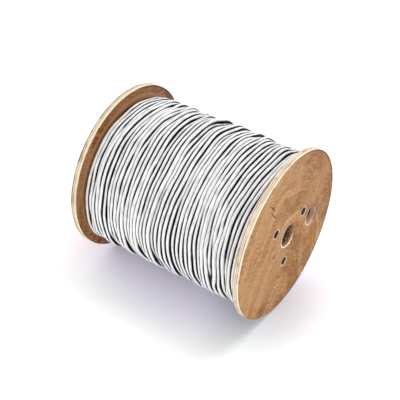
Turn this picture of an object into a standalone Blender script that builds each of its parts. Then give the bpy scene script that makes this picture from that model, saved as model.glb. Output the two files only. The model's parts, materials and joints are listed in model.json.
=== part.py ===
"""A plywood cable drum, lying on the rims of its two flanges and wound full of electrical cable.

The drum's axis is +X, its centre is the origin, +Z is up, and all lengths are in metres.
Two round plywood flanges are drawn together by three steel tie rods that run inside a
cardboard barrel. A fibreboard hub ring is screwed to the inner face of each flange and
centres the barrel. The cable fills the space between the flanges, and its turns lie heaped
in bundles with hollows between them.
"""
import math

import bmesh
import bpy
from mathutils import Matrix, Vector

# Clearances between pieces
JOINT_GAP = 0.0003
ROD_HOLE_GAP = 0.0004

# Flanges
FLANGE_RADIUS = 0.150
FLANGE_THICKNESS = 0.0115
TRAVERSE = 0.310
BORE_RADIUS = 0.020

# Off-centre hole, measured out from the barrel's surface
DRIVE_HOLE_RADIUS = 0.019
DRIVE_HOLE_OFFSET = 0.0155
DRIVE_HOLE_ANGLE = math.radians(-8.0)

# Tie rods and their sunk nuts
ROD_COUNT = 3
ROD_RADIUS = 0.003
ROD_CIRCLE = 0.0513
FIRST_ROD_ANGLE = math.radians(20.5)
NUT_POCKET_RADIUS = 0.0078
NUT_SEAT_THICKNESS = 0.0035
NUT_ACROSS_FLATS = 0.010
NUT_HEIGHT = 0.0060
NUT_COLLAR_RADIUS = 0.0069
NUT_COLLAR_HEIGHT = 0.0013
ROD_END_PROUD = 0.0010

# Barrel, just outside the tie rods
ROD_TO_BARREL = 0.0047
BARREL_WALL = 0.005

# Countersunk wood screws and the hub rings that they hold
SCREW_CIRCLE = 0.0450
SCREW_HEAD_RADIUS = 0.0045
SCREW_HEAD_DEPTH = 0.0030
SCREW_SHANK_RADIUS = 0.0022
SCREW_BITE = 0.0085
SCREW_POINT_LENGTH = 0.004
HUB_RING_THICKNESS = 0.012
HUB_RING_LAND = 0.009

# Cable winding
CABLE_DIAMETER = 0.0068
TURN_GAP = 0.0005
WINDING_MARGIN = 0.0145
LAYER_NESTING = 0.95
GROOVE_DEPTH = 0.0021

# Heaps on the outside of the winding: their width, half turns round the drum, phase and height
WINDING_HEAPS = [
    (0.0335, 0, 0.28, 0.0024),
    (0.0270, 1, 2.20, 0.0014),
    (0.0450, -2, 4.10, 0.0010),
    (0.0310, 3, 1.10, 0.0008),
]
HEAP_FADE = 0.022

# Facets round each turned shape
RIM_FACETS = 72
BARREL_FACETS = 48
WINDING_FACETS = 32
HOLE_FACETS = 36
POCKET_FACETS = 20
ROD_FACETS = 12
HEXAGON_SIDES = 6

# Worked out from the sizes above
inner_face = TRAVERSE / 2
outer_face = inner_face + FLANGE_THICKNESS
barrel_inner_radius = ROD_CIRCLE + ROD_RADIUS + ROD_TO_BARREL
barrel_outer_radius = barrel_inner_radius + BARREL_WALL
drive_hole_circle = barrel_outer_radius + DRIVE_HOLE_OFFSET
hub_ring_face = inner_face - JOINT_GAP
hub_ring_radius = barrel_inner_radius - JOINT_GAP
hub_ring_bore_radius = SCREW_CIRCLE - HUB_RING_LAND
nut_seat = inner_face + NUT_SEAT_THICKNESS
rod_half_length = nut_seat + JOINT_GAP + NUT_HEIGHT + ROD_END_PROUD
screw_length = FLANGE_THICKNESS + JOINT_GAP + SCREW_BITE
winding_inner_radius = (barrel_outer_radius + JOINT_GAP) / math.cos(math.pi / WINDING_FACETS)
winding_radius = FLANGE_RADIUS - WINDING_MARGIN
winding_half = inner_face - JOINT_GAP
turn_width = CABLE_DIAMETER + TURN_GAP
mean_of_arch = 2 / math.pi
cutter_reach = FLANGE_THICKNESS + HUB_RING_THICKNESS
rod_angles = [FIRST_ROD_ANGLE + index * 2 * math.pi / ROD_COUNT for index in range(ROD_COUNT)]
screw_angles = [angle + math.pi / ROD_COUNT for angle in rod_angles]
side_names = {1: "near", -1: "far"}


def clear_scene():
    """Take every object out of the open file, with its collections."""
    for item in list(bpy.data.objects):
        bpy.data.objects.remove(item, do_unlink=True)
    for group in list(bpy.data.collections):
        bpy.data.collections.remove(group)


def new_collection(name):
    group = bpy.data.collections.new(name)
    bpy.context.scene.collection.children.link(group)
    return group


def make_material(name, colour, roughness, metallic=0.0):
    material = bpy.data.materials.new(name)
    material.use_nodes = True
    shader = material.node_tree.nodes["Principled BSDF"]
    shader.inputs["Base Color"].default_value = (*colour, 1.0)
    shader.inputs["Roughness"].default_value = roughness
    shader.inputs["Metallic"].default_value = metallic
    material.diffuse_color = (*colour, 1.0)
    return material


def along_axis(x, side=1, radius=0.0, angle=0.0, turn=0.0):
    """Place a turned shape so that its own +Z points outwards on the given side."""
    centre = Vector((side * x, radius * math.cos(angle), radius * math.sin(angle)))
    aim = Matrix.Rotation(side * math.pi / 2, 4, "Y")
    return Matrix.Translation(centre) @ aim @ Matrix.Rotation(turn, 4, "Z")


def turned(name, profile, facets, place, closed=False):
    """Turn a profile of (radius, height) points, listed down its outer side."""
    outline = bmesh.new()
    points = [outline.verts.new((radius, 0.0, height)) for radius, height in profile]
    for first, second in zip(points, points[1:]):
        outline.edges.new((first, second))
    if closed:
        outline.edges.new((points[-1], points[0]))
    mesh = bpy.data.meshes.new(name)
    outline.to_mesh(mesh)
    outline.free()
    item = bpy.data.objects.new(name, mesh)
    screw = item.modifiers.new("Turn", "SCREW")
    screw.axis = "Z"
    screw.steps = facets
    screw.render_steps = facets
    screw.use_merge_vertices = True
    screw.merge_threshold = 0.00001
    item.matrix_world = place
    return item


def turned_rod(name, radius, top, bottom, facets, place):
    """Turn a plain cylinder between two heights."""
    profile = [(0.0, top), (radius, top), (radius, bottom), (0.0, bottom)]
    return turned(name, profile, facets, place)


def turned_ring(name, inner, outer, top, bottom, facets, place):
    """Turn a plain ring between two radii and two heights."""
    profile = [(inner, top), (outer, top), (outer, bottom), (inner, bottom)]
    return turned(name, profile, facets, place, closed=True)


def add_part(item, group, material):
    item.data.materials.append(material)
    group.objects.link(item)
    return item


def add_cutter(item, group):
    item.hide_render = True
    item.display_type = "WIRE"
    group.objects.link(item)
    return item


def join_or_cut(item, other, operation):
    boolean = item.modifiers.new(other.name, "BOOLEAN")
    boolean.operation = operation
    boolean.solver = "EXACT"
    boolean.object = other


def shade_by_angle(item, angle=math.radians(30)):
    """Keep the finished mesh, shaded smooth except across edges sharper than the angle."""
    evaluated = item.evaluated_get(bpy.context.evaluated_depsgraph_get())
    mesh = bpy.data.meshes.new_from_object(evaluated)
    mesh.name = item.name
    mesh.shade_smooth()
    mesh.set_sharp_from_angle(angle=angle)
    item.modifiers.clear()
    item.data = mesh


def bore_cutter(cutters, side):
    """The spindle bore on the axis."""
    name = f"bore_cutter_{side_names[side]}"
    place = along_axis(inner_face, side)
    return add_cutter(turned_rod(name, BORE_RADIUS, cutter_reach, -cutter_reach, HOLE_FACETS, place), cutters)


def drive_hole_cutter(cutters, side):
    """The off-centre hole, for a drive pin or the cable's inner end."""
    name = f"drive_hole_cutter_{side_names[side]}"
    place = along_axis(inner_face, side, drive_hole_circle, DRIVE_HOLE_ANGLE)
    hole = turned_rod(name, DRIVE_HOLE_RADIUS, cutter_reach, -cutter_reach, HOLE_FACETS, place)
    return add_cutter(hole, cutters)


def rod_hole_cutter(cutters, side, angle, number):
    """A tie rod's hole, with the wide pocket that its nut is sunk in."""
    hole_radius = ROD_RADIUS + ROD_HOLE_GAP
    profile = [(0.0, cutter_reach), (NUT_POCKET_RADIUS, cutter_reach), (NUT_POCKET_RADIUS, 0.0)]
    profile += [(hole_radius, 0.0), (hole_radius, -cutter_reach), (0.0, -cutter_reach)]
    place = along_axis(nut_seat, side, ROD_CIRCLE, angle)
    item = turned(f"rod_hole_cutter_{side_names[side]}_{number}", profile, POCKET_FACETS, place)
    return add_cutter(item, cutters)


def screw_hole_cutter(cutters, side, angle, number):
    """A screw's hole and countersink, a joint gap wider than the screw all round."""
    head = SCREW_HEAD_RADIUS + JOINT_GAP
    shank = SCREW_SHANK_RADIUS + JOINT_GAP
    point = SCREW_POINT_LENGTH - screw_length
    profile = [(0.0, cutter_reach), (head, cutter_reach), (head, 0.0), (shank, -SCREW_HEAD_DEPTH)]
    profile += [(shank, point), (JOINT_GAP, -screw_length - JOINT_GAP), (0.0, -screw_length - JOINT_GAP)]
    place = along_axis(outer_face, side, SCREW_CIRCLE, angle)
    item = turned(f"screw_hole_cutter_{side_names[side]}_{number}", profile, ROD_FACETS, place)
    return add_cutter(item, cutters)


def make_flange(parts, material, side, hole_cutters):
    """A round of plywood with its holes."""
    place = along_axis(inner_face, side, turn=math.pi / RIM_FACETS)
    name = f"flange_{side_names[side]}"
    item = turned_rod(name, FLANGE_RADIUS, FLANGE_THICKNESS, 0.0, RIM_FACETS, place)
    for cutter in hole_cutters:
        join_or_cut(item, cutter, "DIFFERENCE")
    return add_part(item, parts, material)


def make_hub_ring(parts, material, side, hole_cutters):
    """The fibreboard ring that fits inside each end of the barrel."""
    name = f"hub_ring_{side_names[side]}"
    place = along_axis(hub_ring_face, side)
    item = turned_ring(
        name, hub_ring_bore_radius, hub_ring_radius, 0.0, -HUB_RING_THICKNESS, BARREL_FACETS, place
    )
    for cutter in hole_cutters:
        join_or_cut(item, cutter, "DIFFERENCE")
    return add_part(item, parts, material)


def make_barrel(parts, material):
    """The cardboard tube that the cable is wound on."""
    item = turned_ring(
        "barrel", barrel_inner_radius, barrel_outer_radius, winding_half, -winding_half,
        BARREL_FACETS, along_axis(0.0),
    )
    return add_part(item, parts, material)


def winding_end():
    """Points up one end of the winding, a crown for each layer of cable and a rounded corner."""
    layers = round((winding_radius - winding_inner_radius) / (turn_width * LAYER_NESTING))
    rise = (winding_radius - winding_inner_radius) / layers
    corner = CABLE_DIAMETER / 2 * (1 - math.cos(math.pi / 4))
    points = []
    for layer in range(layers):
        points.append((winding_inner_radius + layer * rise, winding_half - GROOVE_DEPTH))
        points.append((winding_inner_radius + (layer + 0.5) * rise, winding_half))
    points.append((winding_radius - corner, winding_half - corner))
    return points


def winding_outside():
    """Points along the outside of the winding, a crown for each turn and a groove between turns."""
    turns = int(2 * winding_half / turn_width)
    pitch = 2 * winding_half / turns
    points = [(winding_radius, winding_half - pitch / 2)]
    for turn in range(1, turns):
        points.append((winding_radius - GROOVE_DEPTH, winding_half - turn * pitch))
        points.append((winding_radius, winding_half - (turn + 0.5) * pitch))
    return points


def heap_height(x, angle):
    """How far a place on the winding stands above its middle radius, with none at its ends."""
    height = 0.0
    for width, half_turns, phase, rise in WINDING_HEAPS:
        arch = abs(math.sin(math.pi * x / width + half_turns * angle / 2 + phase))
        height += rise * (arch - mean_of_arch)
    return height * min(max((winding_half - abs(x)) / HEAP_FADE, 0.0), 1.0)


def heap_turns(item):
    """Raise and lower the crowns and grooves on the outside of the finished winding."""
    place = item.matrix_world
    back = place.inverted()
    outside = winding_radius - GROOVE_DEPTH - JOINT_GAP
    for point in item.data.vertices:
        x, y, z = place @ point.co
        radius = math.hypot(y, z)
        if radius > outside:
            share = 1 + heap_height(x, math.atan2(z, y)) / radius
            point.co = back @ Vector((x, y * share, z * share))


def make_winding(parts, material):
    """The whole coil of cable as one turned solid, round the barrel."""
    end = winding_end()
    far_end = [(radius, -height) for radius, height in reversed(end)]
    place = along_axis(0.0, turn=math.pi / WINDING_FACETS)
    item = turned("winding", end + winding_outside() + far_end, WINDING_FACETS, place, closed=True)
    return add_part(item, parts, material)


def make_rod(parts, material, angle, number):
    """A threaded rod from nut to nut, inside the barrel."""
    place = along_axis(0.0, radius=ROD_CIRCLE, angle=angle)
    item = turned_rod(f"tie_rod_{number}", ROD_RADIUS, rod_half_length, -rod_half_length, ROD_FACETS, place)
    return add_part(item, parts, material)


def make_nut(parts, cutters, material, side, angle, number):
    """A hexagon nut with a round collar, on the floor of its pocket."""
    name = f"nut_{side_names[side]}_{number}"
    place = along_axis(nut_seat + JOINT_GAP, side, ROD_CIRCLE, angle)
    hole_radius = ROD_RADIUS + JOINT_GAP
    corner_radius = NUT_ACROSS_FLATS / math.sqrt(3)
    collar = turned_rod(name, NUT_COLLAR_RADIUS, NUT_COLLAR_HEIGHT, 0.0, POCKET_FACETS, place)
    hexagon = turned_rod(
        f"{name}_hexagon", corner_radius, NUT_HEIGHT, NUT_COLLAR_HEIGHT / 2, HEXAGON_SIDES, place
    )
    hole = turned_rod(f"{name}_hole", hole_radius, 2 * NUT_HEIGHT, -NUT_HEIGHT, ROD_FACETS, place)
    join_or_cut(collar, add_cutter(hexagon, cutters), "UNION")
    join_or_cut(collar, add_cutter(hole, cutters), "DIFFERENCE")
    return add_part(collar, parts, material)


def make_screw(parts, material, side, angle, number):
    """A countersunk wood screw, flush with the flange's outer face."""
    point = SCREW_POINT_LENGTH - screw_length
    profile = [(0.0, 0.0), (SCREW_HEAD_RADIUS, 0.0), (SCREW_SHANK_RADIUS, -SCREW_HEAD_DEPTH)]
    profile += [(SCREW_SHANK_RADIUS, point), (0.0, -screw_length)]
    place = along_axis(outer_face, side, SCREW_CIRCLE, angle)
    item = turned(f"screw_{side_names[side]}_{number}", profile, ROD_FACETS, place)
    return add_part(item, parts, material)


def build_drum():
    clear_scene()
    parts = new_collection("cable_drum")
    cutters = new_collection("cutters")

    plywood = make_material("plywood", (0.52, 0.31, 0.16), 0.62)
    fibreboard = make_material("hub_ring_fibreboard", (0.60, 0.60, 0.59), 0.85)
    cardboard = make_material("barrel_cardboard", (0.15, 0.12, 0.095), 0.85)
    white_sheath = make_material("white_cable_sheath", (0.75, 0.75, 0.74), 0.25)
    dark_steel = make_material("blackened_steel", (0.05, 0.05, 0.055), 0.45, 1.0)
    zinc_steel = make_material("dulled_zinc_steel", (0.25, 0.19, 0.14), 0.50, 1.0)

    finished = []
    for side in side_names:
        rod_cutters = []
        screw_cutters = []
        for number, angle in enumerate(rod_angles, start=1):
            rod_cutters.append(rod_hole_cutter(cutters, side, angle, number))
            finished.append(make_nut(parts, cutters, dark_steel, side, angle, number))
        for number, angle in enumerate(screw_angles, start=1):
            screw_cutters.append(screw_hole_cutter(cutters, side, angle, number))
            finished.append(make_screw(parts, zinc_steel, side, angle, number))
        round_cutters = [bore_cutter(cutters, side), drive_hole_cutter(cutters, side)]
        small_cutters = rod_cutters + screw_cutters
        finished.append(make_flange(parts, plywood, side, round_cutters + small_cutters))
        finished.append(make_hub_ring(parts, fibreboard, side, small_cutters))

    for number, angle in enumerate(rod_angles, start=1):
        finished.append(make_rod(parts, dark_steel, angle, number))
    finished.append(make_barrel(parts, cardboard))
    winding = make_winding(parts, white_sheath)
    finished.append(winding)

    bpy.context.view_layer.update()
    for item in finished:
        shade_by_angle(item)
    heap_turns(winding)


build_drum()
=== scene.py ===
import json
import math

import bmesh
import bpy
import numpy as np
from mathutils import Matrix, Vector


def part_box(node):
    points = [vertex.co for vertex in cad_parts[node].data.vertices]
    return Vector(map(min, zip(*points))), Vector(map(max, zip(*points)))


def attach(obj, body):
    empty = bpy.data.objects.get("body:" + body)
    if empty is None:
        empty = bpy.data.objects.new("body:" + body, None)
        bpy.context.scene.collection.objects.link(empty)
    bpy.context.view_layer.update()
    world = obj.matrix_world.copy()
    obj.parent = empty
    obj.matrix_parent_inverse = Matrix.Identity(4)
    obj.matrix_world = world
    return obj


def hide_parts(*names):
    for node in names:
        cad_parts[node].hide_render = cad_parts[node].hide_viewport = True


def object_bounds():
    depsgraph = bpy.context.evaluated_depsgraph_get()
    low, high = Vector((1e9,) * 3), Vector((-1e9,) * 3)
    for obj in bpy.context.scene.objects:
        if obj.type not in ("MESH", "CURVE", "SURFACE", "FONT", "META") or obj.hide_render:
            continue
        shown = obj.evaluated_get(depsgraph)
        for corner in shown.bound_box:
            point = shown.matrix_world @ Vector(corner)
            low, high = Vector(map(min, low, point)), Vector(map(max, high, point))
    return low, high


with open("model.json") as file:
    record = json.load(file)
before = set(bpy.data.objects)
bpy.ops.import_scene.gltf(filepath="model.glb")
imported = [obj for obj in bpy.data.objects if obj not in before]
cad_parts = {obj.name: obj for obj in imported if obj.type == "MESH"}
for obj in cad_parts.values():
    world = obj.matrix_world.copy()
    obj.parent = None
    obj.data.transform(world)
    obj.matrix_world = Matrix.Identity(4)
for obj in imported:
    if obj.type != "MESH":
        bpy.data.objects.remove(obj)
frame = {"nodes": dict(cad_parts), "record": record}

# A plywood cable drum on its rims, wound with white cable. Its axis is X, its centre the origin.
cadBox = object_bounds()
fullTurn = 2 * math.pi


def middleAcross(low, high):  # the middle of a box, as y and z
    return [(low[axis] + high[axis]) / 2 for axis in (1, 2)]


def roundNode(node):  # its middle, its radius and its ends along the drum
    low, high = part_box(node)
    return middleAcross(low, high), (high[2] - low[2]) / 2, low[0], high[0]


openings = {opening["name"]: opening["box_m"] for opening in frame["record"]["physics"]["openings"]}
rimRadius, innerFace, outerFace = roundNode("flange_near")[1:]
thickness = outerFace - innerFace
barrelRadius = roundNode("barrel")[1]
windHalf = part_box("winding")[1][0]


# Shader nodes

class Wire:  # an output socket that takes part in sums
    def __init__(self, nodes, socket):
        self.nodes = nodes
        self.socket = socket

    def math(self, operation, *values):
        return self.nodes.add("ShaderNodeMath", {"operation": operation}, dict(enumerate(values)))

    def __add__(self, other):
        return self.math("ADD", self, other)

    def __sub__(self, other):
        return self.math("SUBTRACT", self, other)

    def __rsub__(self, other):
        return self.math("SUBTRACT", other, self)

    def __mul__(self, other):
        return self.math("MULTIPLY", self, other)

    def __truediv__(self, other):
        return self.math("DIVIDE", self, other)

    def __rtruediv__(self, other):
        return self.math("DIVIDE", other, self)

    def __abs__(self):
        return self.math("ABSOLUTE", self)

    __radd__ = __add__
    __rmul__ = __mul__

    def sine(self):
        return self.math("SINE", self)

    def root(self):
        return self.math("SQRT", self)

    def sign(self):
        return self.math("SIGN", self)


class Nodes:  # the nodes of a finish or of the sky
    def __init__(self, tree):
        self.tree = tree

    def plug(self, place, value):
        if isinstance(value, Wire):
            self.tree.links.new(value.socket, place)
        elif place.type == "RGBA" and len(value) == 3:
            place.default_value = (*value, 1.0)
        else:
            place.default_value = value

    def add(self, kind, settings=(), values=(), output=0):
        node = self.tree.nodes.new(kind)
        for name, value in dict(settings).items():
            if name == "stops":
                self.setStops(node.color_ramp, value)
            else:
                setattr(node, name, value)
        for name, value in dict(values).items():
            self.plug(node.inputs[name], value)
        return Wire(self, node.outputs[output])

    def setStops(self, ramp, stops):
        while len(ramp.elements) < len(stops):
            ramp.elements.new(0.5)
        for element, (place, colour) in zip(ramp.elements, stops):
            element.position = place
            element.color = (*colour, 1.0)

    def split(self, coordinate):  # a texture coordinate as x, y and z
        point = self.add("ShaderNodeTexCoord", output=coordinate)
        across = self.add("ShaderNodeSeparateXYZ", values={0: point})
        return [Wire(self, socket) for socket in across.socket.node.outputs]


class Finish(Nodes):  # a material under construction
    def __init__(self, name, roughness=0.5, metallic=0.0):
        self.material = bpy.data.materials.new(name)
        self.material.use_nodes = True
        super().__init__(self.material.node_tree)
        self.shader = self.tree.nodes["Principled BSDF"]
        self.feed("Roughness", roughness)
        self.feed("Metallic", metallic)

    def feed(self, socket, value):
        self.plug(self.shader.inputs[socket], value)

    def place(self):  # the point on the surface
        return self.split("Object")

    def noise(self, x, y, z, scale=1.0, detail=2.0, roughness=0.5):
        point = self.add("ShaderNodeCombineXYZ", values={0: x, 1: y, 2: z})
        values = {"Vector": point, "Scale": scale, "Detail": detail, "Roughness": roughness}
        return self.add("ShaderNodeTexNoise", values=values)

    def step(self, value, low, high, least=0.0, most=1.0):
        values = {"Value": value, "From Min": low, "From Max": high, "To Min": least, "To Max": most}
        return self.add("ShaderNodeMapRange", {"interpolation_type": "SMOOTHSTEP"}, values)

    def blend(self, amount, first, second, how="MIX"):
        settings = {"data_type": "RGBA", "blend_type": how}
        return self.add("ShaderNodeMix", settings, {0: amount, 6: first, 7: second}, output=2)

    def ramp(self, amount, stops):
        return self.add("ShaderNodeValToRGB", {"stops": stops}, {0: amount})

    def bump(self, height, depth, strength=1.0):
        values = {"Height": height, "Distance": depth, "Strength": strength}
        self.feed("Normal", self.add("ShaderNodeBump", values=values))


def distance(across, up):
    return (across * across + up * up).root()


def angleRound(y, z):  # round the drum's axis
    return z.math("ARCTAN2", z, y)


def gain(value, strength):  # noise keeps close to its middle, so it is drawn out
    return (value - 0.5) * strength


def turned(y, z, angle):  # the same point in a frame turned by the angle
    cosine, sine = math.cos(angle), math.sin(angle)
    return y * cosine + z * sine, z * cosine - y * sine


def srgb(red, green, blue):  # from the 0 to 255 values of a picture
    def linear(value):
        share = value / 255
        return share / 12.92 if share <= 0.04045 else ((share + 0.055) / 1.055) ** 2.4
    return linear(red), linear(green), linear(blue)


veneer = {
    "light": srgb(195, 151, 106),
    "middle": srgb(163, 114, 56),
    "dark": srgb(121, 71, 14),
    "stain": srgb(66, 37, 18),
    "pink": srgb(184, 141, 98),
    "rubbed": srgb(184, 136, 96),
    "archTilt": math.radians(9),
    "archSteepness": 1.9,
    "archFoot": 1.1,  # in rim radii, as the knot's place is
    "fleckAngle": math.radians(-25),
    "knot": (-0.67, -0.42),
    "knotSize": (0.006, 0.026),
    "knotRing": 0.0062,
    "handledEdge": (0.974, 0.990),
    "rubbedFade": (0.003, -0.004),
    "roughness": 0.56,
    "relief": 0.00016,
}


def archedGrain(finish, y, z, shift):  # nested arches, as a log's rings show in peeled veneer
    slow = finish.noise(shift, y, z, 7.0)
    quick = finish.noise(y, shift, z, 30.0)
    across, up = turned(y, z, -veneer["archTilt"])
    reach = distance(across * veneer["archSteepness"], up + veneer["archFoot"] * rimRadius)
    return reach + gain(slow, 0.10) + gain(quick, 0.016)


def knotFigure(finish, y, z, blotch):
    knotY, knotZ = veneer["knot"]
    reach = distance(y - knotY * rimRadius, z - knotZ * rimRadius) + gain(blotch, 0.010)
    knot = finish.step(reach, *veneer["knotSize"], 1.0, 0.0)
    return (reach * (fullTurn / veneer["knotRing"])).sine() * knot * 0.12


# the last argument is how far inside the rim a paler band beside the turns reaches, painted light that
# lifts the shade they cast
def veneerFinish(name, shift, figure=1.0, tone=(1.0, 1.0, 1.0), rubbed=0.0):
    finish = Finish(name)
    x, y, z = finish.place()
    arch = archedGrain(finish, y, z, shift)
    along, across = turned(y, z, veneer["fleckAngle"])
    bands = finish.noise(arch * 55.0, y * 5.0, z * 5.0 + shift, detail=1.0)
    lines = finish.noise(arch * 210.0, y * 14.0, z * 14.0 + shift)
    streaks = finish.noise(shift, along * 34.0, across * 300.0, detail=3.0, roughness=0.6)
    fibre = finish.noise(shift, along * 130.0, across * 620.0, detail=3.0, roughness=0.7)
    blotch = finish.noise(y, z, shift, 60.0, 3.0, 0.6)
    tint = gain(bands, 1.1) + gain(lines, 0.8) + gain(streaks, 1.5) + gain(fibre, 1.7) + gain(blotch, 0.8)
    tint = tint * figure + y * 1.5 - z * 0.15 + knotFigure(finish, y, z, blotch) + 0.50
    stops = [(0.0, veneer["light"]), (0.46, veneer["middle"]), (1.0, veneer["dark"])]
    colour = finish.ramp(tint, stops)
    patch = finish.noise(z, shift, y, 11.0)
    colour = finish.blend(finish.step(patch, 0.44, 0.62, 0.0, 0.45), colour, veneer["pink"])
    speck = finish.noise(y, z, shift, 330.0, 1.0)
    pores = finish.step(speck, 0.685, 0.75, 0.0, 0.80)
    colour = finish.blend(pores, colour, veneer["stain"])
    # a darker edge round the rim, darker on one side
    reach = distance(y, z)
    worn = gain(finish.noise(x, y, z, 55.0, 3.0), 0.006)
    start, end = veneer["handledEdge"]
    edge = finish.step(reach + worn, rimRadius * start, rimRadius * end)
    edge = edge * finish.step(y - z * 0.25, -0.04, 0.10, 0.10, 0.95)
    colour = finish.blend(edge, colour, veneer["stain"])
    colour = finish.blend(1.0, colour, tone, "MULTIPLY")
    # painted light: paler beside the turns, lifting the shade they cast on the wood
    if rubbed:
        start, end = [rimRadius - rubbed + fade for fade in veneer["rubbedFade"]]
        beside = finish.step(reach + worn * 0.4, start, end, 0.0, 0.7)
        colour = finish.blend(beside, colour, veneer["rubbed"])
    finish.feed("Base Color", colour)
    finish.feed("Roughness", gain(streaks, -0.25) + veneer["roughness"])
    finish.feed("Specular IOR Level", 0.22)
    finish.bump(fibre * 0.6 + streaks * 0.3 - pores, veneer["relief"], 0.6)
    return finish.material


plyEdge = {
    "plies": 5,
    "face": srgb(232, 217, 190),
    "endGrain": srgb(204, 178, 142),
    "line": srgb(140, 98, 62),
    "bright": srgb(239, 228, 204),
    "dirt": srgb(104, 72, 48),
    "saw": srgb(74, 48, 34),
    "roughness": 0.72,
    "relief": 0.00025,
}


def plyBands(*bands):
    return [(place, plyEdge[colour]) for place, colour in bands]


# colours across the edge, from the side turned to -X to the side turned to +X
nearBands = plyBands(
    (0.02, "line"), (0.12, "endGrain"), (0.26, "face"), (0.34, "line"), (0.42, "face"),
    (0.56, "endGrain"), (0.62, "line"), (0.70, "face"), (0.77, "bright"), (0.87, "bright"),
    (0.95, "endGrain"), (1.0, "line"))
farBands = plyBands(
    (0.0, "saw"), (0.13, "dirt"), (0.25, "endGrain"), (0.38, "face"), (0.47, "dirt"),
    (0.55, "face"), (0.68, "bright"), (0.84, "bright"), (0.94, "endGrain"), (1.0, "line"))
sawnBands = plyBands(
    (0.0, "line"), (0.20, "endGrain"), (0.45, "face"), (0.58, "line"), (0.70, "face"),
    (0.90, "endGrain"), (1.0, "line"))
lipBands = plyBands((0.0, "face"), (0.5, "bright"), (1.0, "bright"))


def plyEdgeFinish(name, bands, tone, soot, deepen=0.0):
    finish = Finish(name, roughness=plyEdge["roughness"])
    x, y, z = finish.place()
    angle = angleRound(y, z)
    depth = (abs(x) - innerFace) / thickness
    ripple = finish.noise(x * 60.0, y * 34.0, z * 34.0)
    across = (depth - 0.5) * x.sign() + 0.5 + gain(ripple, 0.16)
    speck = finish.noise(x * 700.0, angle * 120.0, z * 20.0, detail=3.0, roughness=0.7)
    streak = finish.noise(x * 900.0, angle * 9.0, y * 6.0, detail=3.0)
    mottle = finish.noise(x * 70.0, y * 46.0, z * 46.0, detail=3.0)
    colour = finish.ramp(across, bands)
    colour = finish.blend(finish.step(mottle, 0.38, 0.56, 0.45, 0.0), colour, plyEdge["face"])
    splinter = finish.step(streak, 0.57, 0.66, 0.0, 0.85) * finish.step(mottle, 0.44, 0.58)
    colour = finish.blend(splinter, colour, plyEdge["line"])
    pits = finish.step(speck, 0.62, 0.74, 0.0, 0.55)
    colour = finish.blend(pits, colour, plyEdge["endGrain"])
    colour = finish.blend(finish.step(mottle, 0.54, 0.74, 0.0, soot), colour, plyEdge["dirt"])
    if deepen:  # sawn walls are rough, and painted shade darkens them away from the face
        clump = finish.noise(x * 0.8, y, z, 430.0, 4.0, 0.72)
        inner = finish.step(depth + gain(clump, 0.7), 0.95, 0.40, 0.0, deepen)
        colour = finish.blend(inner, colour, plyEdge["dirt"])
        colour = finish.blend(finish.step(clump, 0.46, 0.62, 0.0, deepen), colour, plyEdge["saw"])
        colour = finish.blend(finish.step(clump, 0.47, 0.34, 0.0, 0.65), colour, plyEdge["face"])
    colour = finish.blend(1.0, colour, tone, "MULTIPLY")
    finish.feed("Base Color", colour)
    finish.bump(speck * 0.6 + streak * 0.3, plyEdge["relief"], 0.8)
    return finish.material


def tornFinish(name):  # the dark inside of a gouge
    finish = Finish(name, roughness=0.85)
    x, y, z = finish.place()
    fibre = finish.noise(x * 900.0, y * 500.0, z * 500.0, detail=3.0, roughness=0.7)
    finish.feed("Base Color", finish.ramp(fibre, [(0.3, srgb(74, 46, 28)), (0.7, srgb(132, 92, 60))]))
    finish.bump(fibre, 0.0003, 0.8)
    return finish.material


sheath = {
    # the cable's own white is the crown; shoulder, side and groove are painted shade, picked by openness
    "crown": srgb(241, 241, 240),
    "shoulder": srgb(205, 205, 204),
    "side": srgb(112, 112, 113),
    "groove": srgb(5, 5, 5),
    # painted shade on the top of the winding
    "handled": srgb(214, 214, 215),
    "roughness": 0.34,
    "gloss": 0.45,
    "coatRoughness": 0.16,
    "relief": 0.00008,
}


def sheathFinish(name):
    finish = Finish(name)
    x, y, z = finish.place()
    openness = finish.add("ShaderNodeAttribute", {"attribute_name": "openness"}, output="Fac")
    smear = finish.noise(x, y, z, 70.0, 3.0)
    # painted shade: the colour runs from the white crown to a black groove as the baked openness falls
    stops = [(0.27, sheath["groove"]), (0.38, sheath["side"])]
    stops += [(0.53, sheath["shoulder"]), (0.90, sheath["crown"])]
    colour = finish.ramp(openness + gain(smear, 0.50), stops)
    # painted shade, greyer in streaks along the turns and more on top
    streak = finish.noise(x * 420.0, angleRound(y, z) * 7.0, 0.0, roughness=0.6)
    shadedTopStreaks = finish.step(z + y * 0.3, -0.11, 0.04) * finish.step(streak, 0.42, 0.60, 0.25, 0.95)
    colour = finish.blend(shadedTopStreaks, colour, sheath["handled"], "MULTIPLY")
    finish.feed("Base Color", colour)
    finish.feed("Roughness", gain(smear, 0.18) + sheath["roughness"])
    skin = finish.noise(x, y, z, 420.0)
    finish.bump(skin, sheath["relief"], 0.5)
    finish.feed("Specular IOR Level", 0.15)
    finish.feed("Coat Weight", finish.step(openness, 0.55, 0.90, 0.0, sheath["gloss"]))
    finish.feed("Coat Roughness", sheath["coatRoughness"])
    return finish.material


board = {
    "joint": srgb(40, 36, 32),
    # painted shade deep inside the drum
    "glue": srgb(14, 13, 13),
    "roughness": 0.9,
    "relief": 0.0002,
}


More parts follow.
